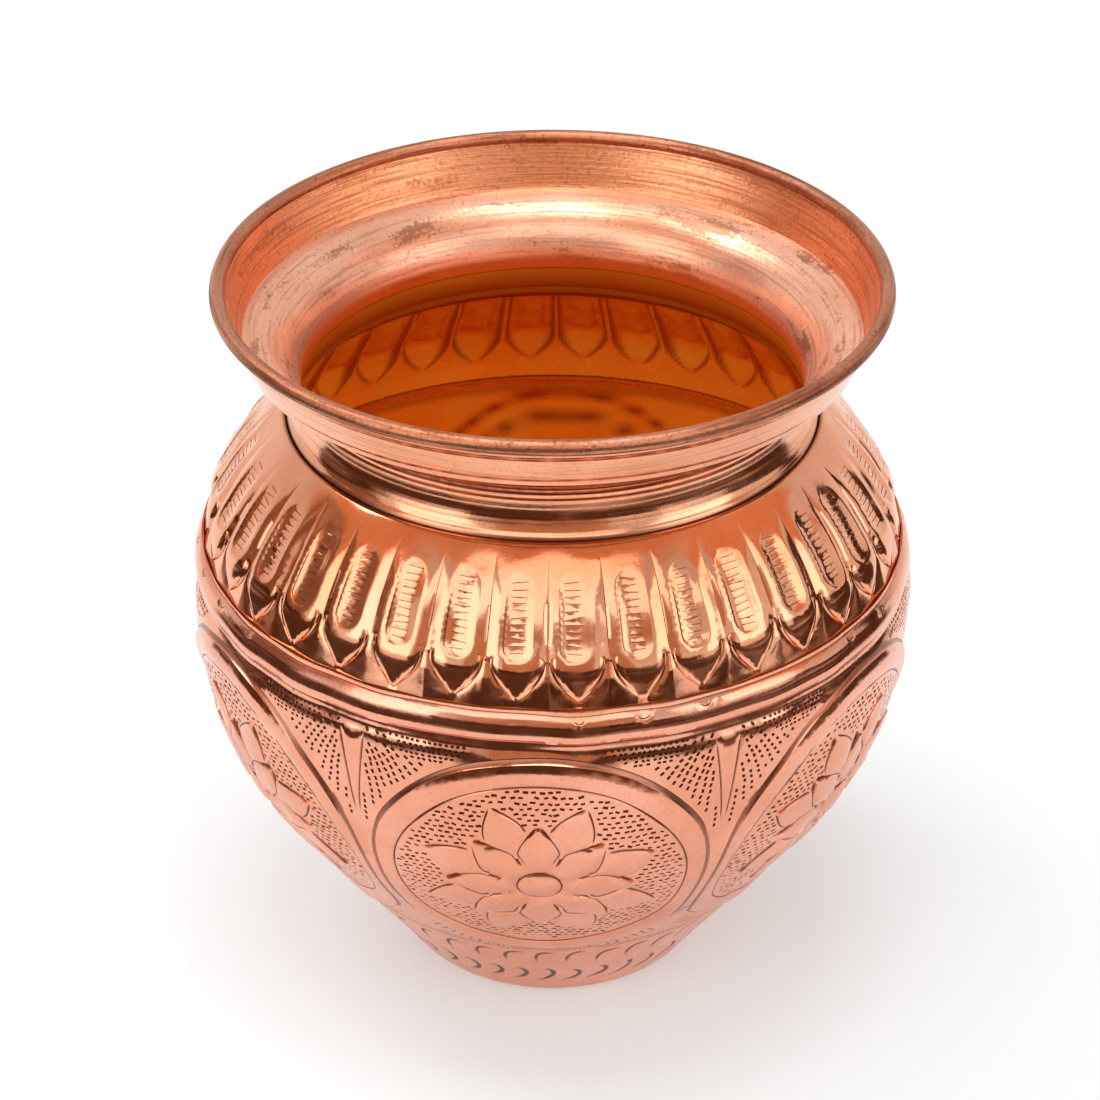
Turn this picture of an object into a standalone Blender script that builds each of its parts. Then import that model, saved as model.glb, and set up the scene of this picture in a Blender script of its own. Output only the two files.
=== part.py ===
"""Copper lota: a water pot of three brazed sheet shells with a wired lip.

Units are metres and +Z is up. The origin is the centre of the flat base, and -Y is the front.
"""

import math

import bmesh
import bpy

MM = 0.001

# Body, measured on the outer surface
BASE_RADIUS = 21.9 * MM
BASE_CORNER = 2.5 * MM
CONE_SLOPE = 0.735
BELLY_RADIUS = 53.9 * MM
BELLY_HEIGHT = 60.6 * MM
SEAM_HEIGHT = 71.3 * MM
ROOT_RADIUS = 40.2 * MM
ROOT_HEIGHT = 90.9 * MM

# Neck and mouth, measured on the outer surface
WAIST_RADIUS = 37.85 * MM
WAIST_HEIGHT = 95.3 * MM
FOLD_RADIUS = 45.5 * MM
FOLD_HEIGHT = 103.6 * MM
LIP_RADIUS = 50.0 * MM
HEIGHT = 112.6 * MM

# Sheet, seams and lip
SHEET = 0.8 * MM
GAP = 0.3 * MM
TONGUE_FOOT = SEAM_HEIGHT - 3.0 * MM
BELLY_JOG = 1.4 * MM
SKIRT_FOOT = ROOT_HEIGHT - 1.2 * MM
NECK_SETBACK = 0.4 * MM
NECK_CLEAR = 0.75 * MM
BELLY_BRAZE = (1.6 * MM, 1.5 * MM)
NECK_BRAZE = (1.0 * MM, 0.7 * MM)
LIP_SHEET = 0.4 * MM
WIRE_RADIUS = 0.45 * MM
CURL_START = 205.0
CURL_SLIT = 245.0
CURL_END = -75.0

# Chased relief, angles in degrees from the front towards +X
PETALS = 36
PETAL_PHASE = -0.8
PETAL_RISE = 0.7 * MM
PETAL_LOW = SEAM_HEIGHT + 0.8 * MM
PETAL_HIGH = ROOT_HEIGHT - 1.2 * MM
PETAL_NOSE = 3.0 * MM
MEDALLIONS = 6
MEDALLION_PHASE = -2.2
MEDALLION_HEIGHT = 39.7 * MM
MEDALLION_RADIUS = 25.4 * MM
MEDALLION_EDGE = 6.0 * MM
MEDALLION_RISE = 0.6 * MM

# Facets
PETAL_FACETS = 3
MEDALLION_FACETS = 12
ROUND_FACETS = 60
WIRE_FACETS = 6
CORNER_ROWS = 2
NECK_ROWS = 3
FLARE_ROWS = 5
CURL_ROWS = 6
BOWL_ROWS = 15
BOWL_INNER_ROWS = 8
SHOULDER_ROWS = 8
SHOULDER_INNER_ROWS = 5
SMOOTH_ANGLE = math.radians(35)
MERGE = 0.001 * MM

# Curves of the wall: a cone, then one arc up to the belly and one from the belly to the neck
CONE_TILT = math.atan(CONE_SLOPE)
LOWER_ARC = (BELLY_RADIUS - BASE_RADIUS - CONE_SLOPE * BELLY_HEIGHT) / (
    1 - math.cos(CONE_TILT) - CONE_SLOPE * math.sin(CONE_TILT)
)
UPPER_ARC = (
    (BELLY_RADIUS - ROOT_RADIUS) ** 2 + (ROOT_HEIGHT - BELLY_HEIGHT) ** 2
) / (2 * (BELLY_RADIUS - ROOT_RADIUS))
CURL_RADIUS = WIRE_RADIUS + GAP + LIP_SHEET
CURL_CENTRE = (LIP_RADIUS - CURL_RADIUS, HEIGHT - CURL_RADIUS)

COPPER = (0.80, 0.40, 0.25, 1.0)
COPPER_WIRE = (0.62, 0.30, 0.19, 1.0)
BRAZE_METAL = (0.78, 0.60, 0.32, 1.0)


def clear_scene():
    """Remove whatever the file holds."""
    for old in list(bpy.data.objects):
        bpy.data.objects.remove(old)


def metal(name, colour, roughness):
    """A plain metal material."""
    material = bpy.data.materials.new(name)
    material.use_nodes = True
    shader = material.node_tree.nodes["Principled BSDF"]
    shader.inputs["Base Color"].default_value = colour
    shader.inputs["Metallic"].default_value = 1.0
    shader.inputs["Roughness"].default_value = roughness
    return material


def wall_tilt(height):
    """Angle of the wall's outward normal above the horizon at this height."""
    if height >= BELLY_HEIGHT:
        return math.asin((height - BELLY_HEIGHT) / UPPER_ARC)
    return math.asin(max((height - BELLY_HEIGHT) / LOWER_ARC, -math.sin(CONE_TILT)))


def wall_point(height, depth=0.0):
    """Radius and height of the point this deep inside the body's wall."""
    tilt = wall_tilt(height)
    if height >= BELLY_HEIGHT:
        radius = BELLY_RADIUS - UPPER_ARC * (1 - math.cos(tilt))
    elif tilt > -CONE_TILT:
        radius = BELLY_RADIUS - LOWER_ARC * (1 - math.cos(tilt))
    else:
        radius = BASE_RADIUS + CONE_SLOPE * height
    return radius - depth * math.cos(tilt), height - depth * math.sin(tilt)


def spread(first, last, steps):
    """Evenly spaced values from first to last, both included."""
    return [first + (last - first) * i / steps for i in range(steps + 1)]


def arc(centre, radius, start, end, steps):
    """Points of a circular arc, angles in degrees."""
    turns = [math.radians(angle) for angle in spread(start, end, steps)]
    return [(centre[0] + radius * math.cos(a), centre[1] + radius * math.sin(a)) for a in turns]


def throat_arc(end_radius, end_height):
    """Centre and radius of the arc that leaves the waist upright and ends at this point."""
    across = end_radius - WAIST_RADIUS
    rise = end_height - WAIST_HEIGHT
    radius = (across**2 + rise**2) / (2 * across)
    sweep = math.degrees(math.asin(rise / radius))
    return (WAIST_RADIUS + radius, WAIST_HEIGHT), radius, 180 - sweep


def turn(name, section, facets, phase, material, closed=True, rise=None, raised=0):
    """Spin a section round the axis. The section's first raised points carry the relief."""
    start = math.radians(phase)
    mesh = bpy.data.meshes.new(name)
    bm = bmesh.new()
    row = bm.verts.layers.int.new("row")
    verts = []
    for index, (radius, height) in enumerate(section):
        vert = bm.verts.new((radius * math.sin(start), -radius * math.cos(start), height))
        vert[row] = index
        verts.append(vert)
    edges = [bm.edges.new(pair) for pair in zip(verts, verts[1:])]
    if closed:
        edges.append(bm.edges.new((verts[-1], verts[0])))
    full_turn = 2 * math.pi
    axis = (0, 0, 1)
    centre = (0, 0, 0)
    section_parts = verts + edges
    bmesh.ops.spin(
        bm, geom=section_parts, cent=centre, axis=axis, angle=full_turn, steps=facets, use_merge=True
    )
    bmesh.ops.remove_doubles(bm, verts=bm.verts, dist=MERGE)
    if rise:
        for vert in bm.verts:
            if vert[row] < raised:
                lift(vert, rise)
    bmesh.ops.recalc_face_normals(bm, faces=bm.faces)
    bm.to_mesh(mesh)
    bm.free()
    mesh.shade_smooth()
    mesh.set_sharp_from_angle(angle=SMOOTH_ANGLE)
    mesh.materials.append(material)
    piece = bpy.data.objects.new(name, mesh)
    bpy.context.scene.collection.objects.link(piece)
    return piece


def lift(vert, rise):
    """Move a point of the wall outward by the relief there."""
    angle = math.degrees(math.atan2(vert.co.x, -vert.co.y))
    amount = rise(angle, vert.co.z)
    tilt = wall_tilt(vert.co.z)
    turned = math.radians(angle)
    vert.co.x += amount * math.cos(tilt) * math.sin(turned)
    vert.co.y -= amount * math.cos(tilt) * math.cos(turned)
    vert.co.z += amount * math.sin(tilt)


def petal_rise(angle, height):
    """Raised tongues with a valley along each dividing line."""
    across = abs(((angle - PETAL_PHASE) * PETALS / 360) % 1 - 0.5) * 2
    ends = min((height - PETAL_LOW) / PETAL_NOSE, (PETAL_HIGH - height) / PETAL_NOSE, 1.0)
    return PETAL_RISE * max(0.0, ends) * min(1.0, PETAL_FACETS / 2 * (1 - across))


def medallion_rise(angle, height):
    """Round pads pushed out of the belly."""
    pitch = 360 / MEDALLIONS
    away = (angle - MEDALLION_PHASE + pitch / 2) % pitch - pitch / 2
    across = math.radians(away) * wall_point(MEDALLION_HEIGHT)[0]
    along = (height - MEDALLION_HEIGHT) / math.cos(wall_tilt((height + MEDALLION_HEIGHT) / 2))
    inside = (MEDALLION_RADIUS - math.hypot(across, along)) / MEDALLION_EDGE
    return MEDALLION_RISE * min(1.0, max(0.0, inside))


def lower_bowl(material):
    """Flat base, conical wall and belly, up to the seam."""
    centre = (BASE_RADIUS - BASE_CORNER * math.tan((math.pi / 2 - CONE_TILT) / 2), BASE_CORNER)
    lean = -math.degrees(CONE_TILT)
    wall_foot = BASE_CORNER * (1 - math.sin(CONE_TILT))
    shelf = SEAM_HEIGHT - GAP
    outer = [(0.0, 0.0)]
    outer += arc(centre, BASE_CORNER, -90, lean, CORNER_ROWS)
    outer += [wall_point(z) for z in spread(wall_foot, shelf, BOWL_ROWS)[1:]]
    raised = len(outer)
    inner = [wall_point(z, SHEET) for z in spread(shelf, wall_foot, BOWL_INNER_ROWS)]
    inner += arc(centre, BASE_CORNER - SHEET, lean, -90, CORNER_ROWS)[1:]
    inner.append((0.0, SHEET))
    return turn(
        "lower_bowl",
        outer + inner,
        MEDALLIONS * MEDALLION_FACETS,
        MEDALLION_PHASE,
        material,
        closed=False,
        rise=medallion_rise,
        raised=raised,
    )


def shoulder_shell(material):
    """Upper half of the body with the raised petals and a straight tongue set into the bowl."""
    outer = [wall_point(z) for z in spread(SEAM_HEIGHT, ROOT_HEIGHT, SHOULDER_ROWS)]
    tongue_top = wall_point(SEAM_HEIGHT, SHEET + GAP)
    tongue_inside = tongue_top[0] - SHEET
    heights = spread(ROOT_HEIGHT, SEAM_HEIGHT + BELLY_JOG, SHOULDER_INNER_ROWS)
    inner = [wall_point(z, SHEET) for z in heights]
    inner += [(tongue_inside, SEAM_HEIGHT), (tongue_inside, TONGUE_FOOT)]
    inner += [(tongue_top[0], TONGUE_FOOT), tongue_top]
    return turn(
        "shoulder_shell",
        outer + inner,
        PETALS * PETAL_FACETS,
        PETAL_PHASE,
        material,
        rise=petal_rise,
        raised=len(outer),
    )


def skirt_point(depth, along):
    """A point this deep under the shoulder's top edge and this far along the wall above it."""
    tilt = wall_tilt(ROOT_HEIGHT)
    radius, height = wall_point(ROOT_HEIGHT, depth)
    return radius - along * math.sin(tilt), height + along * math.cos(tilt)


def neck_collar(material):
    """Skirt inside the shoulder, neck, flared mouth and the lip curled over the wire."""
    skirt = SHEET + GAP
    neck_foot = skirt_point(NECK_SETBACK, NECK_CLEAR)
    low_centre, low_radius, low_angle = throat_arc(neck_foot[0], 2 * WAIST_HEIGHT - neck_foot[1])
    high_centre, high_radius, high_angle = throat_arc(FOLD_RADIUS, FOLD_HEIGHT)
    outer = [wall_point(SKIRT_FOOT, skirt), skirt_point(skirt, GAP / 2)]
    outer += arc(low_centre, low_radius, 360 - low_angle, 180, NECK_ROWS)
    outer += arc(high_centre, high_radius, 180, high_angle, FLARE_ROWS)[1:]
    curl = arc(CURL_CENTRE, CURL_RADIUS - LIP_SHEET, CURL_SLIT, CURL_END, CURL_ROWS)
    curl += arc(CURL_CENTRE, CURL_RADIUS, CURL_END, CURL_START, CURL_ROWS)
    inner = arc(high_centre, high_radius + SHEET, high_angle, 180, FLARE_ROWS)
    inner += arc(low_centre, low_radius + SHEET, 180, 360 - low_angle, NECK_ROWS)[1:]
    inner += [skirt_point(skirt + SHEET, GAP), wall_point(SKIRT_FOOT, skirt + SHEET)]
    return turn("neck_collar", outer + curl + inner, ROUND_FACETS, 0.0, material)


def rim_wire(material):
    """Wire core of the lip."""
    step = 360 / WIRE_FACETS
    section = arc(CURL_CENTRE, WIRE_RADIUS, 0, 360 - step, WIRE_FACETS - 1)
    return turn("rim_wire", section, ROUND_FACETS, 0.0, material)


def braze_ring(name, edge, size, material):
    """Fillet of brazing metal on the inside of the wall, from a sheet's edge down to its thin tip."""
    height, width = size
    skin = SHEET + GAP
    section = [wall_point(edge, skin), wall_point(edge - height, skin), wall_point(edge, skin + width)]
    return turn(name, section, ROUND_FACETS, 0.0, material)


def main():
    clear_scene()
    sheet = metal("copper_sheet", COPPER, 0.22)
    wire = metal("copper_wire", COPPER_WIRE, 0.40)
    braze = metal("braze", BRAZE_METAL, 0.35)
    lower_bowl(sheet)
    shoulder_shell(sheet)
    neck_collar(sheet)
    rim_wire(wire)
    braze_ring("belly_braze", TONGUE_FOOT, BELLY_BRAZE, braze)
    braze_ring("neck_braze", SKIRT_FOOT - GAP, NECK_BRAZE, braze)


main()
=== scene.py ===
"""Copper lota: chased bowl and shoulder, spun neck and mouth, studio floor and light.

The wall of the body is unrolled to an angle in degrees, from the front towards +X, and a run in
millimetres along the wall from the base plane. Shapes are worked out in millimetres there and
become metres when a mesh is made.
"""

import math

import bpy
import numpy as np
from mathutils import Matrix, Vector
from mathutils.geometry import delaunay_2d_cdt
from mathutils.kdtree import KDTree


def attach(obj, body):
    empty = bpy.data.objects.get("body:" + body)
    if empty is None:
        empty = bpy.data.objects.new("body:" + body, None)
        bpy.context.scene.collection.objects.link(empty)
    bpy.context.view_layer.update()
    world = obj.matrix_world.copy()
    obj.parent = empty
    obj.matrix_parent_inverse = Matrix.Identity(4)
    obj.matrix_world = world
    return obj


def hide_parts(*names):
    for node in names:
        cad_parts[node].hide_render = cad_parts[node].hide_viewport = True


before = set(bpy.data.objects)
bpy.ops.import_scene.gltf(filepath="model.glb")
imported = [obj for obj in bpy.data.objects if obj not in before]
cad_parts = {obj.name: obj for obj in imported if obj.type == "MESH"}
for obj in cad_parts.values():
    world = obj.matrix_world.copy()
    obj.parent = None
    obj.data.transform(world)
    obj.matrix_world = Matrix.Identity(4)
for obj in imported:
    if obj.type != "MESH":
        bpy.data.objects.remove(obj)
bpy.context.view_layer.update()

MM = 0.001
FULL_TURN = 360.0
RNG = np.random.default_rng(20)

# Body, measured on the outer surface
BASE_RADIUS = 21.9
BASE_CORNER = 2.5
CONE_SLOPE = 0.735
BELLY_RADIUS = 53.9
BELLY_HEIGHT = 60.6
SEAM_HEIGHT = 71.3
ROOT_RADIUS = 40.2
ROOT_HEIGHT = 90.9

# Neck and mouth, measured on the outer surface
WAIST_RADIUS = 37.85
WAIST_HEIGHT = 95.3
FOLD_RADIUS = 45.5
FOLD_HEIGHT = 103.6
LIP_RADIUS = 50.0
HEIGHT = 112.6

# Sheet, seams and lip
SHEET = 0.8
GAP = 0.3
SEAM_LINE = 0.08
LAP_FOOT = SEAM_HEIGHT - 3.0
LAP_BLEND = 2.5
LAP_THICK = 1.1
SKIRT_FOOT = ROOT_HEIGHT - 1.2
NECK_SETBACK = 0.4
NECK_CLEAR = 0.75
BELLY_BRAZE = (1.6, 1.5)
NECK_BRAZE = (1.0, 0.7)
LIP_SHEET = 0.4
WIRE_RADIUS = 0.45
CURL_START = 205.0
CURL_SLIT = 245.0
CURL_END = -75.0
CURL_RADIUS = WIRE_RADIUS + GAP + LIP_SHEET
CURL_CENTRE = (LIP_RADIUS - CURL_RADIUS, HEIGHT - CURL_RADIUS)

# Curves of the wall: a cone, then one arc up to the belly and one from the belly to the neck
CONE_TILT = math.atan(CONE_SLOPE)
LOWER_ARC = (BELLY_RADIUS - BASE_RADIUS - CONE_SLOPE * BELLY_HEIGHT) / (
    1 - math.cos(CONE_TILT) - CONE_SLOPE * math.sin(CONE_TILT)
)
UPPER_ARC = (
    (BELLY_RADIUS - ROOT_RADIUS) ** 2 + (ROOT_HEIGHT - BELLY_HEIGHT) ** 2
) / (2 * (BELLY_RADIUS - ROOT_RADIUS))
CONE_END = (BELLY_HEIGHT - LOWER_ARC * math.sin(CONE_TILT)) / math.cos(CONE_TILT)
BELLY_RUN = CONE_END + LOWER_ARC * CONE_TILT


def run_at(height):
    """Run of the wall's point at this height."""
    rise = height - BELLY_HEIGHT
    if rise >= 0:
        return BELLY_RUN + UPPER_ARC * math.asin(rise / UPPER_ARC)
    if rise > -LOWER_ARC * math.sin(CONE_TILT):
        return BELLY_RUN + LOWER_ARC * math.asin(rise / LOWER_ARC)
    return height / math.cos(CONE_TILT)


SEAM_RUN = run_at(SEAM_HEIGHT)
ROOT_RUN = run_at(ROOT_HEIGHT)
FOOT_RUN = run_at(BASE_CORNER * (1 - math.sin(CONE_TILT)))

# Petals of the shoulder
PETALS = 36
PETAL_PITCH = FULL_TURN / PETALS
PETAL_PHASE = -0.8
DIVIDE_LOW = 87.6
DIVIDE_HIGH = 102.6
DIVIDE_HALF = 0.75
DIVIDE_DEPTH = 0.1
DIVIDE_CUT = 0.12
PETAL_FILL = 0.86
PETAL_POWER = 3.4
PETAL_RISE = 0.6
PETAL_FLAT = 93.0
PETAL_TOP = 101.6
LADDER_LOW = 87.2
LADDER_HIGH = 100.2
LADDER_HALF = 2.35
LADDER_EDGE = 0.24
LADDER_RAG = 0.20
LADDER_DEPTH = 0.32
LADDER_WALL = 0.12
LADDER_FADE = 94.5
# Run from which the painted shade on a ladder's left wall fades out
LADDER_DARK = 94.0
TICK_REACH = 1.35
TICKS = 11
TICK_HALF = 0.075
TICK_DEPTH = 0.075
TICK_MARGIN = 1.5
TICK_PITCH = (LADDER_HIGH - LADDER_LOW - 2 * TICK_MARGIN) / (TICKS - 1)
TIP_RUN = 81.35
NOSE_TOP = 87.5
TIP_FALL = 0.36
SPANDREL_DEPTH = 0.16
FACET_RISE = 0.34
EDGE_RISE = 0.12

# Medallions of the bowl
MEDALLIONS = 6
MEDALLION_PITCH = FULL_TURN / MEDALLIONS
MEDALLION_PHASE = -2.2
MEDALLION_RUN = 47.5
RING_WIDE = 26.5
RING_TALL = 25.7
RING_REACH = 29.3
RING_SOFT = 1.6
INNER_RING = 0.832
PAD_RISE = 0.30
BAND_BULGE = 0.38
GROUND_DROP = 0.16
ROLL_RUN = 77.6
ROLL_HALF = 2.05
ROLL_RISE = 0.55
VALLEY_RUN = 74.5
VALLEY_HALF = 1.1
VALLEY_DEPTH = 0.5
DART_TOP = 73.2
DART_TIP = 57.6
DART_HALF = 1.75
DART_RISE = 0.25

# Lotus flower in each medallion
FLOWER_PETALS = 8
BOSS_RADIUS = 3.1
PETAL_INNER = 3.7
PETAL_OUTER = 13.8
PETAL_WIDE = 3.2
LEAF_INNER = 7.5
LEAF_OUTER = 18.4
LEAF_WIDE = 3.3
LEAF_START = 12.6
PETAL_START = 5.6
FLOWER_RISE = 0.55
LEAF_RISE = 0.36

# Chased lines and punch marks of the bowl
OUTLINE_HALF = 0.2
OUTLINE_DEPTH = 0.12
GROUND_ACROSS = 1.2
GROUND_ALONG = 1.02
FAN_ROWS = 13
FAN_FIRST = 22.0
FAN_SPREAD = 4.7
FAN_STEP = 1.08
FAN_START = 4.0
FAN_REACH = 30.0
FAN_SIDE = 1.8
FAN_RUN = 79.5
PATCH_MIDDLE = 16.5
PATCH_HALF = 6.0
PATCH_LOW = 69.5
PATCH_ACROSS = 0.86
PATCH_ALONG = 0.66
HATCHES = 11
HATCH_FIRST = -49.0
HATCH_STEP = 3.0
HATCH_RING = 1.035
HATCH_LENGTH = 3.2
FOOT_LINES = (20.2, 20.95)
FOOT_STROKES = 42

# Rows of strokes round the foot: run, half width and control points
FOOT_ROWS = (
    (15.8, 0.40, ((1.55, 2.0), (-0.3, 2.5), (-1.7, 1.2), (-0.9, -2.4))),
    (7.4, 0.52, ((-0.4, 2.6), (1.5, 1.8), (1.8, -0.8), (-1.7, -2.4))),
)

# Crease under the neck: depth, rise and painted shade of its rows
CREASE = ((0.04, 0.28, 0.2), (0.16, 0.5, 0.5), (0.36, 0.6, 0.8), (0.6, 0.42, 0.9))

# Lathe's lines on the neck and in the mouth: height, width and size
NECK_MARKS = (
    (91.5, 0.18, 0.10), (93.2, 0.2, 0.03), (94.3, 0.16, -0.03), (95.5, 0.2, 0.04), (96.4, 0.14, -0.04),
    (97.3, 0.22, 0.10), (98.2, 0.16, 0.04), (99.0, 0.25, -0.08), (100.2, 0.3, 0.08), (101.2, 0.14, -0.05),
    (102.2, 0.2, 0.05), (103.3, 0.16, 0.16), (104.3, 0.3, -0.05), (108.4, 0.2, -0.09), (109.5, 0.25, 0.08),
)
MOUTH_MARKS = ((104.3, 0.3, 0.07), (96.6, 0.4, 0.10))

# Triangulation of the unrolled sheets
FLAT = 0.85
CELL = 1.0
BOWL_COLUMNS = 360
BOWL_SPACING = 1.05
ROLL_SPACING = 0.6
SHOULDER_COLUMNS = 720
SHOULDER_SPACING = 0.5
MARK_CLEAR = 0.42
SEAM_CLEAR = 0.1
BOWL_INNER_ROWS = 41
SHOULDER_INNER_ROWS = 40
NECK_COLUMNS = 180
WIRE_COLUMNS = 240
LIP_STEPS = 16
CORNER_STEPS = 7
FLOOR_RINGS = (15.0, 8.0, 3.0)
SHARP_ANGLE = math.radians(38)

# Inner skin: how deep its hollows are; painted shade inside, in the crease under the neck and at the throat
INNER_DEEP = 3.0
INNER_SET = 0.7
BOWL_DEEP = 1.6
INNER_SHADE = 0.5
SKIRT_SHADE = 0.55
THROAT_TINT = 0.8
BOTTOM_SHADE = 0.3
CREASE_DARK = 0.6

# Colours of the metal, the stage and the sky
# Near-black for dirt lodged in the cuts, and painted shade on cut floors and the ladders' left walls
CUT_DIRT_AND_SHADE = (0.035, 0.014, 0.009, 1.0)
# Red-brown painted shade for the inner skin and the neck's brazing
INNER_PAINTED_SHADE = (0.34, 0.05, 0.004, 1.0)
# Orange-red painted shade on the mouth's lowest rows, towards the throat
THROAT_PAINTED_SHADE = (0.80, 0.17, 0.012, 1.0)
CLOUDED = (0.90, 0.82, 0.72, 1.0)
INNER_CLOUDED = (1.0, 0.8, 0.6, 1.0)
STAINED = (0.44, 0.34, 0.28, 1.0)
DULL_LOW = 38.0
DULL_HIGH = 64.0
FLOOR_TONE = (0.88, 0.92, 0.93, 1.0)
FLOOR_WHITE = 0.3
ROOM_TONE = (0.06, 0.027, 0.013, 1.0)
CAMERA_TONE = (0.44, 0.27, 0.16, 1.0)
CEILING_TONE = (0.70, 0.34, 0.18, 1.0)
FLAG_TONE = (0.22, 0.13, 0.09, 1.0)
PALE_TONE = (0.80, 0.66, 0.56, 1.0)
SKY_TONES = ((0.0, 0.95), (0.45, 0.72), (0.88, 0.60), (1.0, 0.95))

# Sections of the cut lines, and the medallions' rings: measure, steps, half width, depth, section, shade
VEE = ((-1.0, 0.0), (0.0, -1.0), (1.0, 0.0))
CHANNEL = ((-1.0, 0.0), (-0.5, -1.0), (0.5, -1.0), (1.0, 0.0))
CORD = ((-1.0, 0.0), (-0.55, -0.55), (0.0, 1.0), (0.55, -0.55), (1.0, 0.0))
SIDES = (-1.0, 1.0)
RINGS = ((1.0, 320, 0.44, 0.24, CHANNEL, 0.55), (INNER_RING, 260, 0.22, 0.2, VEE, 0.85))


def unit(value):
    """Value kept between 0 and 1."""
    return np.clip(value, 0.0, 1.0)


def smooth(value):
    """Smooth step from 0 to 1."""
    value = unit(value)
    return value * value * (3.0 - 2.0 * value)


def bell(value, middle, width):
    """Bell curve of height 1."""
    return np.exp(-(((value - middle) / width) ** 2))


def columns(count, seam=0.0):
    """Angles of a mesh's columns."""
    return seam + FULL_TURN * np.arange(count) / count


def wrap(angle, pitch):
    """Angle from the nearest of a row of marks this far apart."""
    return (angle + pitch / 2) % pitch - pitch / 2


def wall(run):
    """Radius, height and tilt of the body's outer wall at this run."""
    run = np.asarray(run, dtype=float)
    below = run < BELLY_RUN
    bend = np.where(below, LOWER_ARC, UPPER_ARC)
    tilt = np.maximum((run - BELLY_RUN) / bend, -CONE_TILT)
    short = np.minimum(run - CONE_END, 0.0)
    radius = BELLY_RADIUS - bend * (1 - np.cos(tilt)) + short * math.sin(CONE_TILT)
    height = BELLY_HEIGHT + bend * np.sin(tilt) + short * math.cos(CONE_TILT)
    return radius, height, tilt


def per_degree(run):
    """Millimetres round the wall for each degree."""
    return np.radians(1.0) * wall(run)[0]


def spun(angle, radius, height):
    """Points at these angles, radii and heights."""
    turn = np.radians(angle)
    radius, height, turn = np.broadcast_arrays(radius, height, turn)
    return np.stack([radius * np.sin(turn), -radius * np.cos(turn), height], axis=-1)


def on_wall(angle, run, rise):
    """Points standing this far off the wall."""
    radius, height, tilt = wall(run)
    return spun(angle, radius + rise * np.cos(tilt), height + rise * np.sin(tilt))


def make_waves(count, turns, pull, size):
    """Seeded ripples that close round the pot."""
    waves = []
    for _ in range(count):
        turn = int(RNG.integers(*turns))
        waves.append((turn, RNG.uniform(-pull, pull), RNG.uniform(0, 6.28), size * RNG.uniform(0.4, 1.0)))
    return waves


def ripple(waves, angle, run):
    """Height of the ripples."""
    turn = np.radians(angle)
    total = np.zeros(np.broadcast(angle, run).shape)
    for turns, pull, phase, size in waves:
        total = total + size * np.cos(turn * turns + run * pull + phase)
    return total


def jitter(size):
    """One small random shift."""
    return RNG.normal(0.0, size)


HAMMER = make_waves(14, (5, 34), 0.5, 0.026)
ROLL_WAVES = make_waves(9, (6, 26), 0.0, 0.065)
SPIN_WAVES = make_waves(8, (2, 9), 0.3, 0.02)
LADDER_SCALE = per_degree(LADDER_LOW)
TIP_SHIFT = RNG.normal(0.0, 0.28, PETALS)
PETAL_SHIFT = np.clip(RNG.normal(0.0, 0.13, PETALS), -0.24, 0.24)
PETAL_LIFT = 1.0 + RNG.normal(0.0, 0.10, PETALS)
LADDER_SKEW = RNG.normal(0.0, 0.16, PETALS)


def capsule(across, run, low, high, half):
    """Distance inside a round-ended bar along the run."""
    beyond = np.maximum(np.maximum(low + half - run, run - (high - half)), 0.0)
    return half - np.hypot(across, beyond)


def petal_half(run, tip):
    """Half the width of a petal, which starts at a point."""
    part = unit((run - tip) / (NOSE_TOP - tip))
    return PETAL_FILL * PETAL_PITCH / 2 * per_degree(run) * np.sin(np.pi / 2 * part**0.92)


def divide_taper(run):
    """Fades a dividing line out at its two ends."""
    part = unit((run - DIVIDE_LOW) / (DIVIDE_HIGH - DIVIDE_LOW))
    return unit(np.minimum(part / 0.25, (1.0 - part) / 0.6)) ** 0.7


def petal_frame(angle, run):
    """Number of the petal here, angle from its middle, millimetres per degree."""
    turn = (angle - PETAL_PHASE) / PETAL_PITCH
    number = np.floor(turn)
    return number.astype(int) % PETALS, (turn - number - 0.5) * PETAL_PITCH, per_degree(run)


def shoulder_relief(angle, run):
    """Height of the chased petals over the shoulder's wall."""
    index, away, scale = petal_frame(angle, run)
    divide = np.abs(wrap(angle - PETAL_PHASE, PETAL_PITCH) * scale)
    shift = PETAL_SHIFT[index]
    ladder = ladder_relief(away * LADDER_SCALE - shift - LADDER_SKEW[index], run)
    ladder = ladder * (1.0 - 0.8 * smooth((run - LADDER_FADE) / 5.5))

    tip = TIP_RUN + TIP_SHIFT[index]
    half = np.maximum(petal_half(run, tip), 0.05)
    part = np.abs(away * scale - shift) / half
    nose = smooth((run - NOSE_TOP + 1.0) / 4.5)
    flat = smooth((run - PETAL_FLAT) / (PETAL_TOP - PETAL_FLAT))
    rise = smooth((run - tip + 0.6) / 5.4) * (1.0 - (0.5 * nose + 0.5 * flat))
    petal = PETAL_RISE * PETAL_LIFT[index] * rise * np.sqrt(1.0 - np.minimum(part, 1.0) ** PETAL_POWER)
    outside = smooth((part - 1.0) / 0.35) * (1.0 - smooth((run - NOSE_TOP + 1.6) / 1.6))
    gap = np.maximum(PETAL_PITCH / 2 * scale - half, 0.2)
    spandrel = outside * (FACET_RISE * unit(1.0 - divide / gap) - SPANDREL_DEPTH)

    taper = divide_taper(run)
    vee = -DIVIDE_DEPTH * taper * unit(1.0 - divide / (DIVIDE_HALF * np.maximum(taper, 0.05)))
    fall = -TIP_FALL * smooth((NOSE_TOP - run) / 6.0)
    hammered = 0.6 * ripple(HAMMER, angle, run)
    chased = petal + ladder + spandrel + fall + vee + hammered
    return chased * (1.0 - smooth((run - ROOT_RUN + 4.0) / 4.0))


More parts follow.
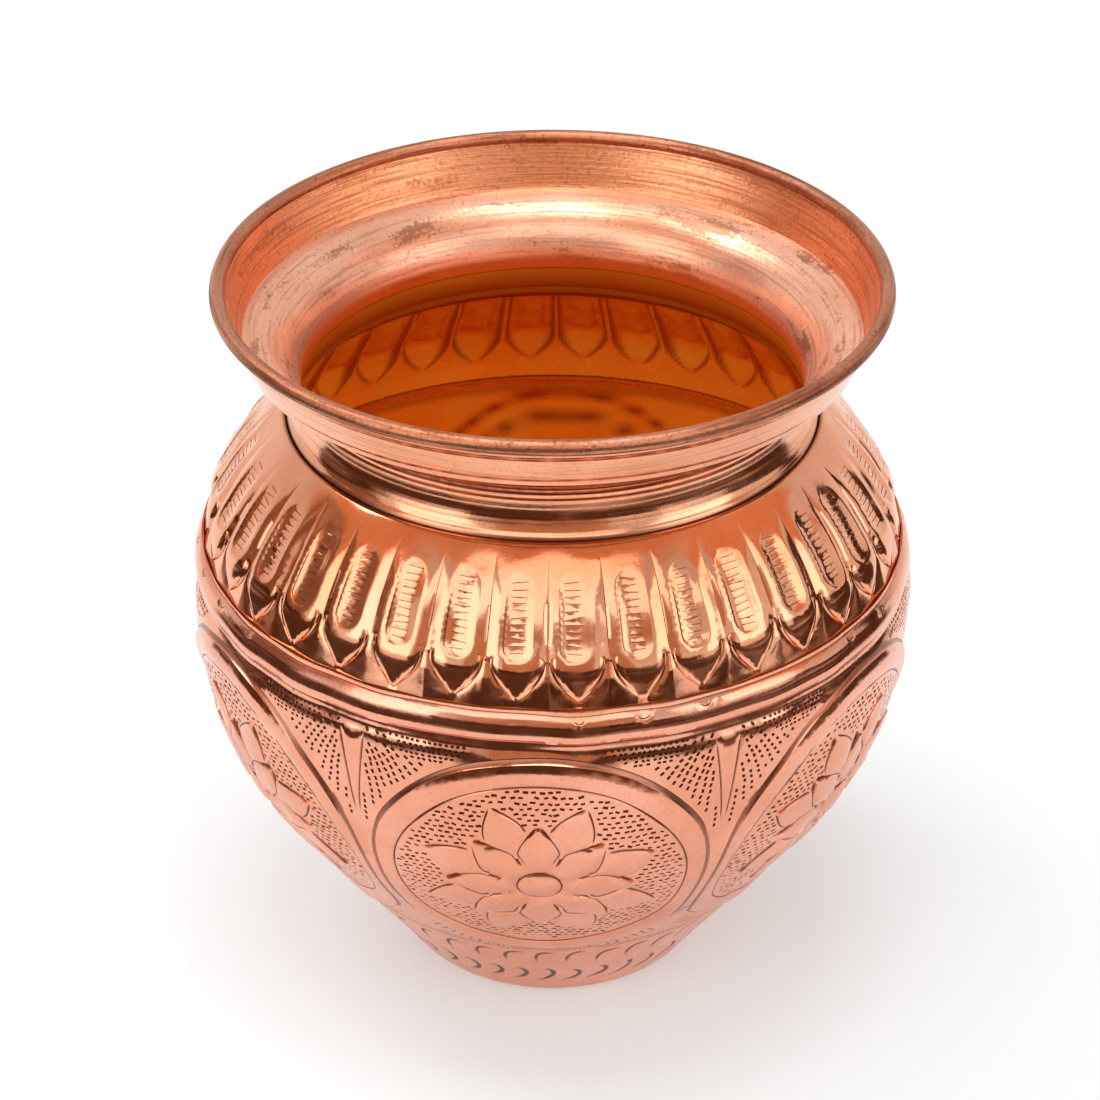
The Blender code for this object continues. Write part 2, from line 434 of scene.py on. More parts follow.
def ladder_relief(across, run):
    """Hollow along a tongue, with a steep ragged wall on its left."""
    rag = LADDER_RAG * np.abs(np.sin(np.pi * (run - LADDER_LOW - TICK_MARGIN) / TICK_PITCH)) * (across < 0)
    inside = capsule(across, run, LADDER_LOW, LADDER_HIGH, LADDER_HALF)
    part = unit(inside / LADDER_HALF)
    step = LADDER_WALL * smooth((inside - rag) / LADDER_EDGE) * smooth(-across / 1.2)
    return -LADDER_DEPTH * part * (2.0 - part) - step


def flower_half(reach):
    """Half the width of a flower petal at this distance from the middle."""
    part = unit((reach - PETAL_INNER) / (PETAL_OUTER - PETAL_INNER))
    return np.minimum(PETAL_WIDE * np.sin(np.pi * part**0.8), 0.345 * reach)


def leaf_half(reach):
    """Half the width of a leaf tip behind the petals."""
    return LEAF_WIDE * np.sin(np.pi * unit((reach - LEAF_INNER) / (LEAF_OUTER - LEAF_INNER)) ** 0.9)


def flower_frame(across, along):
    """Distance from a flower's middle, a petal's and a leaf's."""
    reach = np.hypot(across, along)
    heading = np.degrees(np.arctan2(along, across))
    pitch = FULL_TURN / FLOWER_PETALS
    return reach, *(np.radians(wrap(heading - turn, pitch)) * reach for turn in (0.0, pitch / 2))


def flower_relief(across, along):
    """Height of the lotus flower."""
    reach, side, leaf_side = flower_frame(across, along)
    in_petal = (reach > PETAL_INNER) & (reach < PETAL_OUTER)
    in_leaf = (reach > LEAF_INNER) & (reach < LEAF_OUTER)
    petal = in_petal * unit(1.0 - (side / np.maximum(flower_half(reach), 0.01)) ** 2)
    leaf = in_leaf * unit(1.0 - (leaf_side / np.maximum(leaf_half(reach), 0.01)) ** 2)
    vein = 0.35 * bell(side, 0.0, 0.45) * smooth((PETAL_OUTER - 2.0 - reach) / 3.0)
    boss = 1.25 * np.sqrt(unit(1.0 - (reach / BOSS_RADIUS) ** 2))
    height = np.maximum(LEAF_RISE * np.sqrt(leaf), FLOWER_RISE * (np.sqrt(petal) - vein * (petal > 0)))
    return np.maximum(height, FLOWER_RISE * boss)


def ring_measure(across, along):
    """Place between a medallion's middle, 0, and its outer ring, 1."""
    return np.hypot(across / RING_WIDE, along / RING_TALL)


def medallion_frame(angle, run):
    """Distances across and along from a medallion's middle, and the ring measure."""
    across = wrap(angle - MEDALLION_PHASE, MEDALLION_PITCH) * per_degree(run)
    along = run - MEDALLION_RUN
    return across, along, ring_measure(across, along)


def dart_half(run):
    """Half the width of the dart between two medallions."""
    return DART_HALF * unit((run - DART_TIP) / (DART_TOP - DART_TIP)) ** 1.2


def roll_line(angle):
    """Run of the belly roll's wavy middle."""
    return ROLL_RUN + ripple(ROLL_WAVES, angle, 0.0)


def bowl_relief(angle, run, dart_rise=DART_RISE):
    """Height of the chased medallions, the darts and the belly roll."""
    across, along, ring = medallion_frame(angle, run)
    pad = PAD_RISE * smooth((1.025 - ring) / 0.05)
    band = BAND_BULGE * np.sin(np.pi * unit((ring - INNER_RING) / (1.0 - INNER_RING))) ** 0.8
    ground = -GROUND_DROP * smooth((INNER_RING - ring) / 0.03)
    flower = flower_relief(across, along)
    middle = wrap(angle - MEDALLION_PHASE - MEDALLION_PITCH / 2, MEDALLION_PITCH) * per_degree(run)
    dart = dart_rise * smooth((dart_half(run) - np.abs(middle)) / 0.7) * smooth((run - DART_TIP) / 3.0)
    dart = dart * (1.0 - smooth((run - DART_TOP + 1.0) / 1.2))
    level = run - (roll_line(angle) - ROLL_RUN)
    roll = ROLL_RISE * np.sqrt(unit(1.0 - ((level - ROLL_RUN) / ROLL_HALF) ** 2))
    valley = -VALLEY_DEPTH * bell(level, VALLEY_RUN, VALLEY_HALF)
    edge = EDGE_RISE * bell(run, SEAM_RUN, 0.45)
    return pad + band + ground + flower + dart + roll + valley + edge + ripple(HAMMER, angle, run)


def bowl_inside(angle, run):
    """Height of the bowl's inner skin over the wall."""
    return BOWL_DEEP * np.maximum(bowl_relief(angle, run, 0.0), -0.1) - SHEET


class Sheet:
    """Chased lines and punch marks on an unrolled wall."""

    def __init__(self, seam):
        self.seam = seam
        self.points = []
        self.cuts = []
        self.shades = []
        self.lines = []
        self.cells = {}

    def line(self, angle, run, cut, closed=False, shade=0.0):
        """Add joined points, cut this far below the relief and this dark."""
        angle, run, cut, shade = np.broadcast_arrays(angle, run, cut, shade)
        middle = 0.5 * (angle.min() + angle.max())
        angle = angle - FULL_TURN * math.floor((middle - self.seam) / FULL_TURN)
        on_seam = np.allclose(angle, self.seam)
        for copy in (angle, angle + FULL_TURN) if on_seam else (angle,):
            start = len(self.points)
            self.points.extend(zip(copy.tolist(), run.tolist()))
            self.cuts.extend(cut.tolist())
            self.shades.extend(shade.tolist())
            last = len(self.points) - 1
            self.lines.extend((i, i + 1) for i in range(start, last))
            if closed:
                self.lines.append((last, start))
            for turn, along in self.points[start:]:
                spot = (int(turn * FLAT // CELL), int(along // CELL))
                self.cells.setdefault(spot, []).append((turn * FLAT, along))

    def groove(self, angle, run, half, depth, profile=VEE, taper=0.0, closed=False, dark=0.9):
        """Cut a line along a path, fading out at its ends where it has a taper."""
        scale = per_degree(run)
        if closed:
            step = (np.roll(angle, -1) - np.roll(angle, 1)) * scale
            climb = np.roll(run, -1) - np.roll(run, 1)
        else:
            step = np.gradient(angle) * scale
            climb = np.gradient(run)
        length = np.hypot(step, climb)
        shape = np.ones(len(angle))
        if taper:
            part = np.linspace(0.0, 1.0, len(angle))
            shape = unit(np.minimum(part, 1.0 - part) / taper) ** 0.7
        for offset, lift in profile:
            aside = offset * half * shape
            beside = angle - aside * climb / length / scale
            if np.ptp(angle) > FULL_TURN - 0.01:
                beside[[0, -1]] = angle[[0, -1]]
            # The cut's floor is darkened: dirt lodged there and painted shade
            shade = dark * max(-lift, 0.0) * shape
            self.line(beside, run + aside * step / length, depth * lift * shape, closed, shade)

    def clear(self, angle, run, reach):
        """Whether no mark is this near."""
        angle = angle - FULL_TURN * math.floor((angle - self.seam) / FULL_TURN)
        across = angle * FLAT
        stretch = per_degree(run) / FLAT
        column = int(across // CELL)
        row = int(run // CELL)
        spots = [(i, j) for i in range(column - 2, column + 3) for j in range(row - 1, row + 2)]
        near = (point for spot in spots for point in self.cells.get(spot, ()))
        return all(math.hypot((x - across) * stretch, y - run) >= reach for x, y in near)

    def pit(self, angle, run, half_across, half_along, lean, depth, dark=1.0):
        """Punch a leaning oblong pit with a dark floor."""
        scale = per_degree(run)
        lean = math.radians(lean)
        x = np.array([-1.0, 1.0, 1.0, -1.0]) * half_across
        y = np.array([-1.0, -1.0, 1.0, 1.0]) * half_along
        across = x * math.cos(lean) - y * math.sin(lean)
        along = x * math.sin(lean) + y * math.cos(lean)
        # The pit's floor is darkened: dirt lodged there and painted shade
        for size, cut, shade in ((1.0, 0.0, 0.0), (0.8, -depth, dark)):
            self.line(angle + size * across / scale, run + size * along, cut, closed=True, shade=shade)


def carve(sheet, relief, bands, count):
    """Shell of the sheet with its marks and a plain grid between them, and its lower and upper edges."""
    seam = sheet.seam
    low = bands[0][0]
    high = bands[-1][1]
    marks = np.array(sheet.points)
    tree = KDTree(len(marks))
    for number, place in enumerate(on_wall(marks[:, 0], marks[:, 1], 0.0)):
        tree.insert(place, number)
    tree.balance()

    points = list(sheet.points)
    for start, end, spacing in bands:
        rows = int((end - start) / spacing)
        for row in range(rows):
            run = start + (end - start) * row / rows
            steps = int(FULL_TURN * per_degree(run) / spacing)
            angles = seam + FULL_TURN * (np.arange(steps) + 0.5 * (row % 2)) / steps
            angles = np.concatenate([[seam], angles[angles > seam + 0.2]])
            room = np.where(angles == seam, SEAM_CLEAR, MARK_CLEAR)
            far = np.array([tree.find(place)[2] for place in on_wall(angles, run, 0.0)]) > room
            if run > low:
                points.extend((angle, run) for angle in angles[far])
                points.extend((angle + FULL_TURN, run) for angle in angles[far] if angle == seam)
    for angle in np.linspace(seam, seam + FULL_TURN, count + 1):
        points += [(angle, low), (angle, high)]
    flat = [Vector(((angle - seam) * FLAT, run)) for angle, run in points]
    verts, _, faces, origins, _, _ = delaunay_2d_cdt(flat, sheet.lines, [], 0, 1e-5, True)

    found = np.array([(v.x, v.y) for v in verts])
    angle = found[:, 0] / FLAT + seam
    run = found[:, 1]
    mark = np.array([ids[0] if ids else -1 for ids in origins])
    for lost in np.flatnonzero(mark < 0):
        mark[lost] = tree.find(on_wall(angle[lost], run[lost], 0.0))[1]
    mark[mark >= len(marks)] = len(marks)
    cuts = np.array(sheet.cuts + [0.0])[mark]
    shades = np.array(sheet.shades + [0.0])[mark]
    xyz = on_wall(angle, run, relief(angle, run) + cuts)
    faces = np.array([tuple(face) for face in faces])

    left = np.flatnonzero(angle < seam + 1e-4)
    right = np.flatnonzero(angle > seam + FULL_TURN - 1e-4)
    same = np.arange(len(verts))
    same[right[np.argsort(run[right])]] = left[np.argsort(run[left])]
    faces = same[faces]
    good = (faces[:, 0] != faces[:, 1]) & (faces[:, 1] != faces[:, 2]) & (faces[:, 0] != faces[:, 2])
    shell = Shell()
    shell.add(xyz, shades)
    shell.face(faces[good])
    edges = []
    for limit in (low, high):
        on_edge = np.flatnonzero(np.abs(run - limit) < 1e-4)
        edges.append(on_edge[np.argsort(angle[on_edge])][:-1])
    return shell, *edges


def new_object(name, data):
    """Add an object to the scene."""
    made = bpy.data.objects.new(name, data)
    bpy.context.scene.collection.objects.link(made)
    return made


class Shell:
    """Points and faces of one piece."""

    def __init__(self):
        self.blocks = []
        self.dark = []
        self.faces = []
        self.finishes = []
        self.count = 0

    def add(self, xyz, dark=0.0):
        """Add points and return their numbers."""
        xyz = np.asarray(xyz).reshape(-1, 3)
        self.blocks.append(xyz)
        self.dark.append(np.broadcast_to(dark, (len(xyz),)))
        self.count += len(xyz)
        return np.arange(self.count - len(xyz), self.count)

    def face(self, faces, finish=0):
        """Add faces with a material number."""
        faces = np.asarray(faces).tolist()
        self.faces.extend(faces)
        self.finishes.extend([finish] * len(faces))

    def rows(self, rows, finish=0):
        """Join closed rows of the same length, one after another."""
        for first, second in zip(rows, rows[1:]):
            self.face(np.stack([first, np.roll(first, -1), np.roll(second, -1), second], axis=1), finish)

    def cap(self, row, height, finish=0, ends=False):
        """Close a row to a point on the axis, as the last of its skin or the first."""
        tip = np.full(len(row), self.add((0.0, 0.0, height))[0])
        after = np.roll(row, -1)
        self.face(np.stack([row, after, tip] if ends else [tip, after, row], axis=1), finish)

    def piece(self, name, materials, node, slot):
        """Make the object that stands for a CAD node."""
        mesh = bpy.data.meshes.new(name)
        mesh.from_pydata((np.vstack(self.blocks) * MM).tolist(), [], self.faces)
        for material in materials:
            mesh.materials.append(material)
        mesh.polygons.foreach_set("material_index", self.finishes)
        # Per-point darkness: dirt in the cuts and painted shade
        dirt_and_shade = mesh.attributes.new("dirt_and_shade", "FLOAT", "POINT")
        dirt_and_shade.data.foreach_set("value", np.concatenate(self.dark).astype(np.float32))
        mesh.shade_smooth()
        mesh.set_sharp_from_angle(angle=SHARP_ANGLE)
        mesh.update()
        made = new_object(name, mesh)
        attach(made, "root")
        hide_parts(node)


def chase_petals(sheet):
    """Dividing lines, and petals with their ladders and pointed tips."""
    runs = np.linspace(DIVIDE_LOW, DIVIDE_HIGH, 28)[1:-1]
    taper = divide_taper(runs)
    for petal in range(PETALS):
        divide = PETAL_PHASE + petal * PETAL_PITCH
        # Each divider's centre line is cut and darkened: dirt and painted shade
        for side in (-1.0, -0.13, 0.0, 0.13, 1.0):
            deep = float(side == 0.0)
            angle = divide + side * DIVIDE_HALF * taper / per_degree(runs)
            sheet.line(angle, runs, -deep * DIVIDE_CUT * taper, shade=0.7 * deep * np.sqrt(taper))
        chase_ladder(sheet, petal, divide + PETAL_PITCH / 2)
        chase_tip(sheet, petal, divide + PETAL_PITCH / 2)


def bar_loop(low, high, half, steps):
    """Outline of a round-ended bar."""
    turns = np.linspace(0.0, math.pi, steps)
    x = half * np.cos(turns)
    y = half * np.sin(turns)
    sides = np.linspace(low + half, high - half, 3 * steps)[1:-1]
    edge = np.full(len(sides), half)
    along = np.concatenate([high - half + y, sides[::-1], low + half - y, sides])
    return np.concatenate([x, -edge, -x, edge]), along


def chase_ladder(sheet, petal, middle):
    """Edges of the ladder sunk in a petal, and its strokes."""
    skew = PETAL_SHIFT[petal] + LADDER_SKEW[petal]
    # Painted shade on the ladder's left wall only, fading out towards its top
    for inset, shade in ((0.0, 0.0), (LADDER_EDGE, 0.8), (2 * LADDER_EDGE, 0.0)):
        x, y = bar_loop(LADDER_LOW + inset, LADDER_HIGH - inset, LADDER_HALF - inset, 10)
        dark = shade * (x < -0.9 * (LADDER_HALF - inset)) * (1.0 - smooth((y - LADDER_DARK) / 3.0))
        sheet.line(middle + (x + skew) / LADDER_SCALE, y, 0.0, closed=True, shade=dark)
    for tick in range(TICKS):
        run = LADDER_LOW + TICK_MARGIN + tick * TICK_PITCH + jitter(0.05)
        reach = TICK_REACH * RNG.uniform(0.8, 1.05)
        angle = middle + (skew - 0.1 + jitter(0.06)) / LADDER_SCALE
        sheet.pit(angle, run, reach, TICK_HALF, jitter(4.0), TICK_DEPTH, 0.6)


def chase_tip(sheet, petal, middle):
    """Raised outline of a petal's pointed end, hooked at the top."""
    tip = TIP_RUN + TIP_SHIFT[petal]
    runs = np.concatenate([[NOSE_TOP + 0.75, NOSE_TOP + 0.55], np.linspace(NOSE_TOP, tip, 13)])
    half = petal_half(runs, tip)
    half[:2] -= (0.75, 0.25)
    for side in SIDES:
        x = side * np.maximum(half, 0.12) + PETAL_SHIFT[petal]
        sheet.groove(middle + x / per_degree(runs), runs, 0.32, 0.14, CORD, taper=0.2, dark=0.6)


def ring_path(measure, steps, phase):
    """Points across and along a medallion's ring, drawn in beside its neighbours."""
    turns = np.radians(columns(steps))
    hand = 1.0 + 0.006 * np.sin(3 * turns + phase) + 0.004 * np.sin(7 * turns + 2 * phase)
    along = measure * RING_TALL * hand * np.sin(turns)
    across = measure * RING_WIDE * hand * np.cos(turns)
    limit = RING_REACH * per_degree(MEDALLION_RUN + along)
    near = -RING_SOFT * np.logaddexp(-np.abs(across) / RING_SOFT, -limit / RING_SOFT)
    return np.sign(across) * np.maximum(near, 0.0), along


def place_marks(middle, across, along):
    """Angle and run of points given from a medallion's middle."""
    run = MEDALLION_RUN + np.asarray(along)
    return middle + np.asarray(across) / per_degree(run), run


def chase_medallion(sheet, middle):
    """Ring grooves and the flower's outlines."""
    phase = math.radians(3.0 * middle)
    for measure, steps, half, deep, profile, dark in RINGS:
        across, along = ring_path(measure, steps, phase)
        depth = deep * (0.35 + 0.65 * smooth(0.5 + along / RING_TALL))
        sheet.groove(*place_marks(middle, across, along), half, depth, profile, closed=True, dark=dark)
    turns = np.radians(columns(40))
    boss = BOSS_RADIUS + 0.15
    path = place_marks(middle, boss * np.cos(turns), boss * np.sin(turns))
    sheet.groove(*path, OUTLINE_HALF, OUTLINE_DEPTH, closed=True)
    pitch = 2 * math.pi / FLOWER_PETALS
    reach = np.linspace(PETAL_START, PETAL_OUTER, 18)
    behind = np.linspace(LEAF_START, LEAF_OUTER, 12)
    for petal in range(FLOWER_PETALS):
        for side in SIDES:
            chase_outline(sheet, middle, reach, side * flower_half(reach), petal * pitch)
            chase_outline(sheet, middle, behind, side * leaf_half(behind), (petal + 0.5) * pitch)


def chase_outline(sheet, middle, reach, aside, heading):
    """One side of a pointed outline that starts at the flower's middle."""
    aside = np.where(np.abs(aside) < 0.14, np.sign(aside.sum()) * 0.14, aside)
    turn = heading + aside / reach
    path = place_marks(middle, reach * np.cos(turn), reach * np.sin(turn))
    sheet.groove(*path, OUTLINE_HALF, OUTLINE_DEPTH, taper=0.12, dark=0.85)


def punch_ground(sheet, middle):
    """Rows of punch marks round the flower."""
    for row, along in enumerate(np.arange(-RING_TALL, RING_TALL, GROUND_ALONG)):
        for across in np.arange(GROUND_ACROSS / 2 * (row % 2) - RING_WIDE, RING_WIDE, GROUND_ACROSS):
            x = across + jitter(0.12)
            y = along + jitter(0.10)
            if on_ground(x, y):
                angle, run = place_marks(middle, x, y)
                size = RNG.uniform(0.75, 1.15)
                if sheet.clear(angle, run, 0.46):
                    sheet.pit(angle, run, 0.38 * size, 0.23 * size, jitter(14.0), 0.10)


def on_ground(across, along):
    """Whether a point is on a medallion's punched ground."""
    reach, petal_side, leaf_side = flower_frame(across, along)
    in_petal = reach < PETAL_OUTER + 0.4 and abs(petal_side) < flower_half(reach) + 0.5
    in_leaf = reach < LEAF_OUTER + 0.4 and abs(leaf_side) < leaf_half(reach) + 0.5
    in_ring = ring_measure(across, along) < INNER_RING - 0.03
    return in_ring and reach > LEAF_START and not in_leaf and not in_petal


def punch_fan(sheet, middle, side):
    """Rows of marks from the dart's top down to a medallion's ring."""
    for row in range(FAN_ROWS):
        slope = math.radians(FAN_FIRST + FAN_SPREAD * row)
        for away in np.arange(FAN_START, FAN_REACH, FAN_STEP):
            bend = slope + 0.012 * (away - 10.0)
            run = FAN_RUN - away * math.sin(bend)
            half_pitch = MEDALLION_PITCH / 2 * per_degree(run)
            across = half_pitch + FAN_SIDE - away * math.cos(bend)
            on_dart = across > half_pitch - dart_half(run) - 0.75
            if on_dart or run > VALLEY_RUN - 0.5 or ring_measure(across, run - MEDALLION_RUN) < 1.055:
                continue
            angle = middle + side * (across + jitter(0.06)) / per_degree(run)
            if sheet.clear(angle, run, 0.6):
                run += jitter(0.06)
                lean = math.degrees(bend) * side + jitter(6.0)
                sheet.pit(angle, run, 0.36, 0.22, lean, 0.12)


def punch_patch(sheet, middle, side):
    """Close stippling in a shallow lens over a medallion's shoulder."""
    for run in np.arange(VALLEY_RUN - 0.6, PATCH_LOW, -PATCH_ALONG):
        reach = PATCH_HALF * math.sqrt(max(0.0, 1.0 - ((VALLEY_RUN - run) / 3.6) ** 2))
        for across in np.arange(PATCH_MIDDLE - reach, PATCH_MIDDLE + reach, PATCH_ACROSS):
            angle = middle + side * (across + jitter(0.08)) / per_degree(run)
            if ring_measure(across, run - MEDALLION_RUN) > 1.05 and sheet.clear(angle, run, 0.36):
                sheet.pit(angle, run, 0.27, 0.19, jitter(20.0), 0.12, 0.9)


def chase_dart(sheet, between):
    """Two lines that meet at the dart's tip."""
    runs = np.linspace(DART_TIP + 0.4, DART_TOP, 26)
    for side in SIDES:
        aside = side * (dart_half(runs) + 0.32)
        sheet.groove(between + aside / per_degree(runs), runs, 0.26, 0.2, taper=0.12, dark=0.75)


def chase_hatch(sheet, middle, side):
    """Short strokes along the lower side of a medallion's ring."""
    for stroke in range(HATCHES):
        turn = math.radians(HATCH_FIRST - HATCH_STEP * stroke)
        reach = HATCH_RING + np.linspace(0.0, (HATCH_LENGTH - 0.12 * stroke) / RING_TALL, 5)
        across = side * RING_WIDE * reach * math.cos(turn)
        angle, run = place_marks(middle, across, RING_TALL * reach * math.sin(turn))
        if np.abs(angle - middle).max() < RING_REACH - 0.6:
            sheet.groove(angle, run, 0.19, 0.08, taper=0.25, dark=0.75)


def stroke_path(points, steps):
    """Smooth path through four control points."""
    t = np.linspace(0.0, 1.0, steps)[:, None]
    a, b, c, d = np.array(points)
    path = a * (1 - t) ** 3 + 3 * b * t * (1 - t) ** 2 + 3 * c * t * t * (1 - t) + d * t**3
    return path.T


def chase_foot(sheet):
    """Double line and two rows of curved strokes round the foot."""
    angles = np.linspace(sheet.seam, sheet.seam + FULL_TURN, 361)
    for run in FOOT_LINES:
        wobble = 0.06 * np.sin(np.radians(angles) * 7 + run)
        sheet.groove(angles, run + wobble, 0.18, 0.06, dark=0.6)
    for stroke in range(FOOT_STROKES):
        middle = sheet.seam + (stroke + 0.5) * (FULL_TURN / FOOT_STROKES)
        for run, half, points in FOOT_ROWS:
            x, y = stroke_path(points, 13)
            size = RNG.uniform(1.1, 1.3)
            along = run + jitter(0.12) + size * y
            angle = middle + jitter(0.12) + size * x / per_degree(run)
            sheet.groove(angle, along, half, 0.09, CHANNEL, taper=0.25, dark=0.7)


def chase_roll(sheet):
    """Lines over and under the belly roll, and small curved cuts on it."""
    angles = np.linspace(sheet.seam, sheet.seam + FULL_TURN, 541)
    for offset in (-ROLL_HALF - 0.05, ROLL_HALF + 0.3):
        sheet.groove(angles, roll_line(angles) + offset, 0.15, 0.10, dark=0.6)
    x, y = stroke_path(((-1.0, 0.0), (-0.7, -0.9), (0.7, -0.9), (1.0, 0.0)), 11)
    for petal in range(PETALS):
        middle = PETAL_PHASE + (petal + 0.5) * PETAL_PITCH + jitter(0.25)
        size = RNG.uniform(0.7, 1.1)
        if RNG.uniform() < 0.5:
            run = roll_line(middle) + ROLL_HALF - 0.15 + size * y
            sheet.groove(middle + size * x / per_degree(run), run, 0.16, 0.12, taper=0.2, dark=0.7)


class Nodes:
    """Shader nodes of a material or world."""

    def __init__(self, owner):
        owner.use_nodes = True
        self.tree = owner.node_tree

    def give(self, node, inputs):
        """Set a node's inputs to values or other nodes' outputs."""
        for socket, value in inputs.items():
            if isinstance(value, (float, tuple)):
                node.inputs[socket].default_value = value
            else:
                self.tree.links.new(value, node.inputs[socket])

    def shader(self, inputs, name="Principled BSDF"):
        """Set inputs of a node that is already there."""
        self.give(self.tree.nodes[name], inputs)

    def make(self, kind, inputs, **settings):
        """Add a node and return its outputs."""
        node = self.tree.nodes.new("ShaderNode" + kind)
        for name, value in settings.items():
            setattr(node, name, value)
        self.give(node, inputs)
        return node.outputs

    def place(self, space="Object"):
        """Coordinates of a point."""
        return self.make("TexCoord", {})[space]

    def noise(self, place, scale, detail, roughness):
        """Soft noise."""
        inputs = {"Vector": place, "Scale": scale, "Detail": detail, "Roughness": roughness}
        return self.make("TexNoise", inputs)["Fac"]

    def stretch(self, source, low, high, to_low, to_high):
        """One range mapped to another."""
        inputs = {"Value": source, "From Min": low, "From Max": high, "To Min": to_low, "To Max": to_high}
        return self.make("MapRange", inputs)["Result"]

    def blend(self, factor, first, second):
        """Mix of two colours."""
        return self.make("Mix", {0: factor, 6: first, 7: second}, data_type="RGBA")[2]

    def maths(self, operation, *values, **settings):
        """Result of a sum."""
        return self.make("Math", dict(enumerate(values)), operation=operation, **settings)[0]

    def ramp(self, source, steps):
        """Colours that blend from step to step."""
        node = self.tree.nodes.new("ShaderNodeValToRGB")
        self.give(node, {0: source})
        elements = node.color_ramp.elements
        for position, _ in steps[1:-1]:
            elements.new(position)
        for element, (position, colour) in zip(elements, steps):
            element.position = position
            element.color = colour
        return node.outputs[0]


def copper(
    name, tone, rough, spread, grain, spin=0.0, metallic=1.0, stains=0.35, foot_dull=0.0, blotches=0.0,
    clouded=CLOUDED, dirt_and_shade_tone=CUT_DIRT_AND_SHADE,
):
    """Polished copper with clouds, stains and scratches; dirt in cuts and painted shade darken it per point.
    """
    material = bpy.data.materials.new(name)
    nodes = Nodes(material)
    place = nodes.place()
    clouds = nodes.noise(place, 55.0, 4.0, 0.55)
    specks = nodes.noise(place, 1600.0, 3.0, 0.7)
    if spin:
        streaks = nodes.noise(spin_space(nodes, place, spin), 1.0, 5.0, 0.65)
    else:
        streaks = nodes.noise(place, 260.0, 4.0, 0.65)
    deep = tuple(a * b for a, b in zip(tone, clouded))
    stain = tuple(a * b for a, b in zip(tone, STAINED))
    colour = nodes.blend(nodes.stretch(clouds, 0.40, 0.62, 0.0, 1.0), deep, tone)
    colour = nodes.blend(nodes.stretch(specks, 0.54, 0.70, 0.0, stains), colour, stain)
    if spin:
        colour = nodes.blend(nodes.stretch(streaks, 0.50, 0.64, 0.0, stains), colour, stain)
    if blotches:
        patches = nodes.noise(spin_space(nodes, place, 210.0), 1.0, 4.0, 0.6)
        patches = nodes.maths("ADD", patches, nodes.stretch(specks, 0.3, 0.7, -0.06, 0.06))
        colour = nodes.blend(nodes.stretch(patches, 0.58, 0.64, 0.0, blotches), colour, stain)
    dirt_and_shade = nodes.make("Attribute", {}, attribute_name="dirt_and_shade")["Fac"]
    # Dirt in the cuts and painted shade, blended in by each point's darkness
    colour = nodes.blend(nodes.stretch(dirt_and_shade, 0.1, 0.8, 0.0, 0.95), colour, dirt_and_shade_tone)
    worn = nodes.stretch(streaks, 0.38, 0.62, rough - spread, rough + spread)
    worn = nodes.maths("ADD", worn, nodes.stretch(dirt_and_shade, 0.2, 1.0, 0.0, 0.3))
    if foot_dull:
        height = nodes.make("SeparateXYZ", {0: place})[2]
        worn = nodes.maths("ADD", worn, nodes.stretch(height, DULL_LOW * MM, DULL_HIGH * MM, foot_dull, 0.0))
    scratches = nodes.maths("ADD", streaks, specks)
    bump = nodes.make("Bump", {"Strength": 0.35, "Distance": grain * MM, "Height": scratches})["Normal"]
    nodes.shader({"Base Color": colour, "Metallic": metallic, "Roughness": worn, "Normal": bump})
    nodes.shader({"Specular IOR Level": 0.0})
    return material


def spin_space(nodes, place, fineness):
    """Coordinates drawn out round the axis, for the lathe's marks."""
    x, y, z = nodes.make("SeparateXYZ", {0: place})
    square = nodes.maths("ADD", nodes.maths("MULTIPLY", x, x), nodes.maths("MULTIPLY", y, y))
    parts = ((nodes.maths("SQRT", square), fineness), (z, fineness), (nodes.maths("ARCTAN2", x, y), 2.2))
    return nodes.make("CombineXYZ", {i: nodes.maths("MULTIPLY", *part) for i, part in enumerate(parts)})[0]


def base_rows(shell, angles, inset, dark=0.0):
    """Rows round the base's corner and across it, this far inside the outer skin."""
    corner = (BASE_RADIUS - BASE_CORNER * math.tan((math.pi / 2 - CONE_TILT) / 2), BASE_CORNER)
    profile = arc(corner, BASE_CORNER - inset, -math.degrees(CONE_TILT), -90.0, CORNER_STEPS)[1:]
    profile += [(radius, inset) for radius in FLOOR_RINGS]
    return [shell.add(spun(angles, *point), dark) for point in profile]


